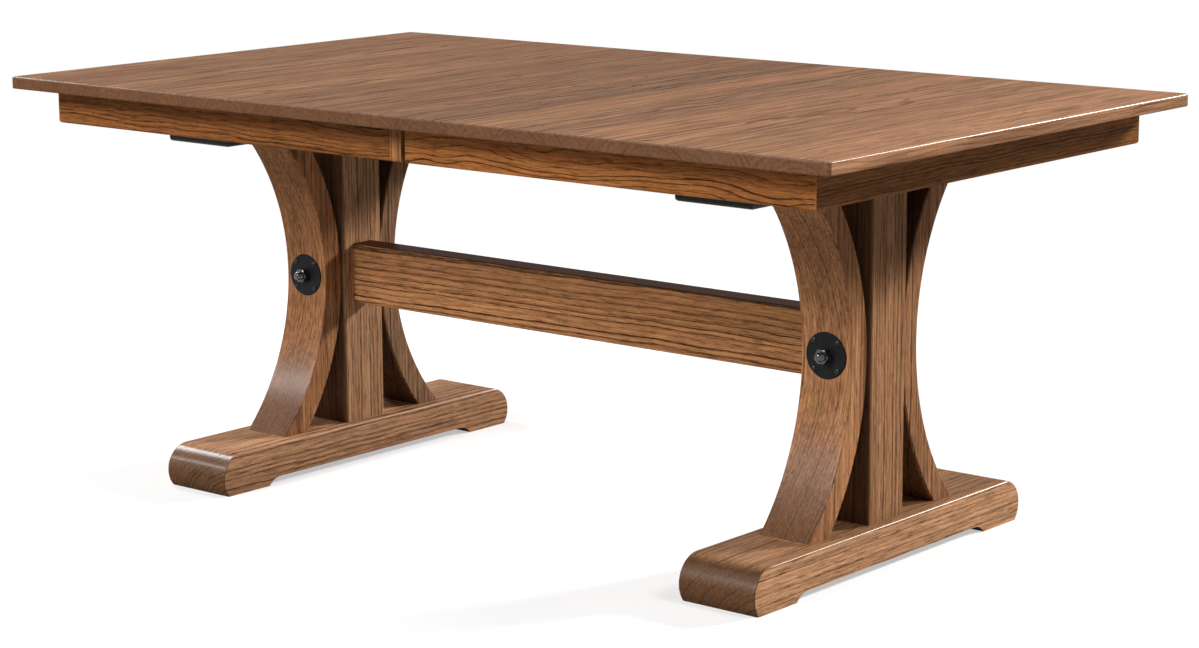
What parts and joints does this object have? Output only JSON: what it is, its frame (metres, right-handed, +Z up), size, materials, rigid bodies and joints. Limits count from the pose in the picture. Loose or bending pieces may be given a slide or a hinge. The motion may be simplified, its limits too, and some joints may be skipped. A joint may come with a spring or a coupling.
{
  "type": "trestle extension table",
  "caption": "Oak trestle dining table on curved-leg pedestals joined by a stretcher, with a split top whose halves slide apart on geared slides for leaves.",
  "frame": {"origin": "on the floor under the middle of the closed top", "axes": "+X along the table, +Y to the rear, +Z up; the pictured front faces -Y"},
  "size_m": [1.8288, 1.0668, 0.762],
  "materials": {
    "oak_panel": "satin lacquered stained oak, grain across the table",
    "oak_side_apron": "satin lacquered stained oak, grain along the table",
    "oak_end_apron": "satin lacquered stained oak, grain across the table",
    "oak_end_block": "satin lacquered stained oak, upright grain",
    "oak_leg": "satin lacquered stained oak, upright grain",
    "oak_post": "satin lacquered stained oak, upright grain",
    "oak_foot": "satin lacquered stained oak, grain along the foot",
    "oak_stretcher": "satin lacquered stained oak, grain along the stretcher",
    "painted_cleat": "satin black paint",
    "slide_maple": "clear sealed hardwood",
    "block_maple": "bare hardwood",
    "plate_black": "satin black steel",
    "bolt_black": "gloss black steel",
    "screw_black": "satin black steel",
    "gear_nylon": "moulded natural nylon",
    "rack_steel": "milled steel",
    "pin_steel": "turned steel",
    "screw_zinc": "zinc plated"
  },
  "bodies": {
    "base": {"bridge_screws": "screw_zinc", "cleat_screws": "screw_zinc", "foot_screws": "screw_zinc", "front_fixed_rail": "slide_maple", "hex_nuts": "bolt_black", "left_cleat": "painted_cleat", "left_foot": "oak_foot", "left_front_bolt_plate": "plate_black", "left_front_leg": "oak_leg", "left_post": "oak_post", "left_rear_bolt_plate": "plate_black", "left_rear_leg": "oak_leg", "left_through_rod": "bolt_black", "pinion_axle": "pin_steel", "pinion_bridge": "slide_maple", "plate_screws": "screw_black", "rail_screws": "screw_zinc", "rear_fixed_rail": "slide_maple", "right_cleat": "painted_cleat", "right_foot": "oak_foot", "right_front_bolt_plate": "plate_black", "right_front_leg": "oak_leg", "right_post": "oak_post", "right_rear_bolt_plate": "plate_black", "right_rear_leg": "oak_leg", "right_through_rod": "bolt_black", "stretcher": "oak_stretcher"},
    "left_half": {"left_end_apron": "oak_end_apron", "left_front_apron": "oak_side_apron", "left_front_corner_block": "block_maple", "left_front_end_block": "oak_end_block", "left_front_slide": "slide_maple", "left_rack": "rack_steel", "left_rack_hanger": "block_maple", "left_rack_screws": "screw_zinc", "left_rear_apron": "oak_side_apron", "left_rear_corner_block": "block_maple", "left_rear_end_block": "oak_end_block", "left_rear_slide": "slide_maple", "left_top_panel": "oak_panel", "left_top_screws": "screw_zinc"},
    "right_half": {"alignment_pins": "pin_steel", "right_end_apron": "oak_end_apron", "right_front_apron": "oak_side_apron", "right_front_corner_block": "block_maple", "right_front_slide": "slide_maple", "right_rack": "rack_steel", "right_rack_hanger": "block_maple", "right_rack_screws": "screw_zinc", "right_rear_apron": "oak_side_apron", "right_rear_corner_block": "block_maple", "right_rear_slide": "slide_maple", "right_top_panel": "oak_panel", "right_top_screws": "screw_zinc"},
    "equaliser_gear": {"pinion": "gear_nylon"}
  },
  "joints": [
    {"name": "right_half_slide", "type": "slide", "parent": "base", "child": "right_half", "axis": [1, 0, 0], "range_m": [0, 0.3048]},
    {"name": "left_half_slide", "type": "slide", "parent": "base", "child": "left_half", "axis": [-1, 0, 0], "range_m": [0, 0.3048]},
    {"name": "equaliser_turn", "type": "hinge", "parent": "base", "child": "equaliser_gear", "pos_m": [0, 0, 0.69], "axis": [0, 0, 1], "range_deg": [0, 485.6]}
  ],
  "couplings": [
    {"joint": "left_half_slide", "follows": "right_half_slide", "ratio": 1},
    {"joint": "equaliser_turn", "follows": "right_half_slide", "rad_per_m": 27.778}
  ]
}
